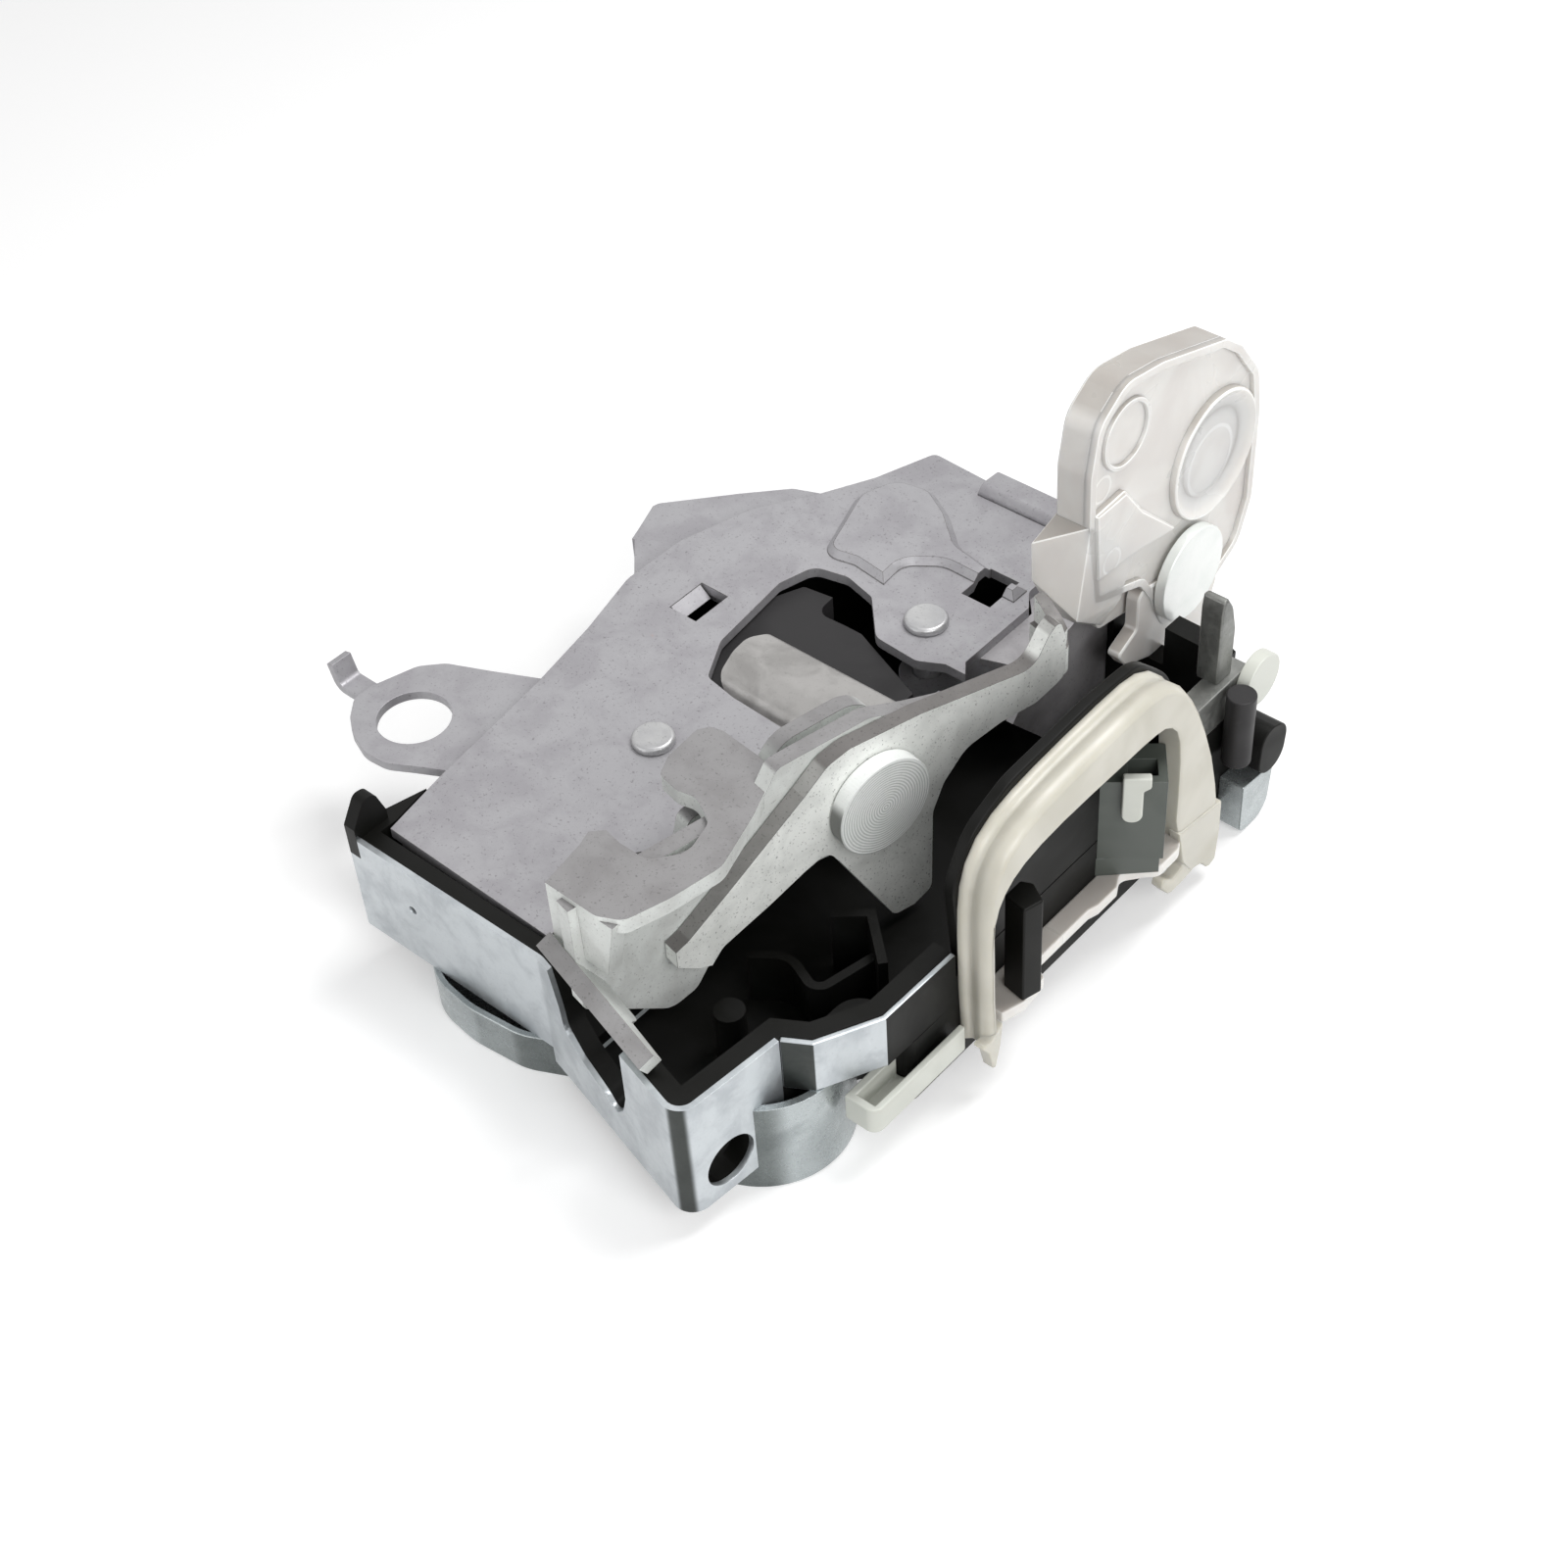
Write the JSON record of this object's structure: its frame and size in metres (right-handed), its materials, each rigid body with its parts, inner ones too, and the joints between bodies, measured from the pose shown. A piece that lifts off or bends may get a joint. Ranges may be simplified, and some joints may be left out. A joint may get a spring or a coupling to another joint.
{
  "type": "door latch actuator",
  "caption": "Vehicle door latch with claw, pawl and levers on a steel face plate, a plastic arch, a plug socket and a motor case below.",
  "frame": {"origin": "centre of the lug's hole on the top face of the back plate", "axes": "+Z out of the face plate, towards the levers; +X along the plate towards the arch, where the striker leaves; +Y along the plate from the case to the rear lip"},
  "size_m": [0.1368, 0.1617, 0.0857],
  "materials": {
    "plate_steel": "zinc passivated sheet, satin, slightly grey-violet",
    "lever_zinc": "pale zinc plated sheet, satin, fine speckle",
    "rivet_steel": "bright turned steel",
    "case_zinc": "pale zinc plated skin with spangle",
    "cup_steel": "drawn steel, darker, satin",
    "guide_steel": "bright formed steel with streaks",
    "black_plastic": "black moulded plastic, satin",
    "jacket_plastic": "dark grey moulded plastic, satin",
    "ivory_plastic": "ivory moulded plastic, satin",
    "milky_plastic": "milky white moulded plastic, satin",
    "connector_plastic": "dark grey-green moulded plastic, matte",
    "peg_plastic": "pale moulded plastic, satin",
    "terminal_brass": "tin-brass blades, satin",
    "end_metal": "grey sheet, satin",
    "spring_steel": "spring wire",
    "motor_steel": "drawn steel can",
    "gear_plastic": "natural moulded plastic"
  },
  "bodies": {
    "latch_base": {"latch_plate": "plate_steel", "back_plate": "plate_steel", "claw_rivet": "rivet_steel", "pawl_rivet": "rivet_steel", "housing": "black_plastic", "case_shell": "case_zinc", "case_side": "case_zinc", "left_cup": "cup_steel", "right_cup": "cup_steel", "bottom_cover": "black_plastic", "cover_screws": "rivet_steel", "striker_guide": "guide_steel", "lever_bracket": "lever_zinc", "pivot_pin": "rivet_steel", "side_sheet": "plate_steel", "lever_disc": "milky_plastic", "guide_arch": "ivory_plastic", "arch_wall": "black_plastic", "connector_housing": "connector_plastic", "terminals": "terminal_brass", "connector_peg": "peg_plastic", "buffer_post": "black_plastic", "base_cover": "milky_plastic", "cable_tray": "peg_plastic", "end_bracket": "end_metal", "end_block": "end_metal", "end_clip": "peg_plastic", "end_rod": "rivet_steel", "end_cap": "black_plastic", "end_foot": "cup_steel", "claw_spring": "spring_steel", "pawl_spring": "spring_steel", "motor_can": "motor_steel", "wheel_pin": "rivet_steel", "microswitch": "black_plastic"},
    "claw": {"claw": "plate_steel", "claw_jacket": "jacket_plastic"},
    "pawl": {"pawl": "plate_steel"},
    "hook_lever": {"hook_lever": "lever_zinc"},
    "front_lever": {"front_lever": "lever_zinc"},
    "white_lever": {"white_lever": "milky_plastic"},
    "worm_wheel": {"worm_wheel": "gear_plastic"},
    "motor_worm": {"motor_worm": "terminal_brass"}
  },
  "joints": [
    {"name": "claw_turn", "type": "hinge", "parent": "latch_base", "child": "claw", "pos_m": [0.0387, 0.0197, -0.004], "axis": [0, 0, 1], "range_deg": [-28, 0], "stiffness_Nm_per_rad": 0.05},
    {"name": "pawl_turn", "type": "hinge", "parent": "latch_base", "child": "pawl", "pos_m": [0.056, 0.0714, -0.011], "axis": [0, 0, 1], "range_deg": [0, 28]},
    {"name": "hook_lever_turn", "type": "hinge", "parent": "latch_base", "child": "hook_lever", "pos_m": [0.06355, 0.02853, 0.0123], "axis": [0.9792, -0.2028, 0], "range_deg": [-8, 0]},
    {"name": "front_lever_turn", "type": "hinge", "parent": "latch_base", "child": "front_lever", "pos_m": [0.06355, 0.02853, 0.0123], "axis": [0.9792, -0.2028, 0], "range_deg": [0, 14], "stiffness_Nm_per_rad": 0.1, "springref_deg": -22.92},
    {"name": "white_lever_turn", "type": "hinge", "parent": "latch_base", "child": "white_lever", "pos_m": [0.0829, 0.1045, 0.0078], "axis": [1, 0, 0], "range_deg": [-14, 0]},
    {"name": "wheel_turn", "type": "hinge", "parent": "latch_base", "child": "worm_wheel", "pos_m": [0.0569, -0.0013, -0.013], "axis": [0, 0, 1], "continuous": true},
    {"name": "worm_turn", "type": "hinge", "parent": "latch_base", "child": "motor_worm", "pos_m": [0.0529, -0.0136, -0.013], "axis": [1, 0, 0], "continuous": true}
  ],
  "couplings": [
    {"joint": "pawl_turn", "follows": "claw_turn", "ratio": -1},
    {"joint": "white_lever_turn", "follows": "front_lever_turn", "ratio": -1},
    {"joint": "wheel_turn", "follows": "worm_turn", "ratio": 0.041667}
  ]
}
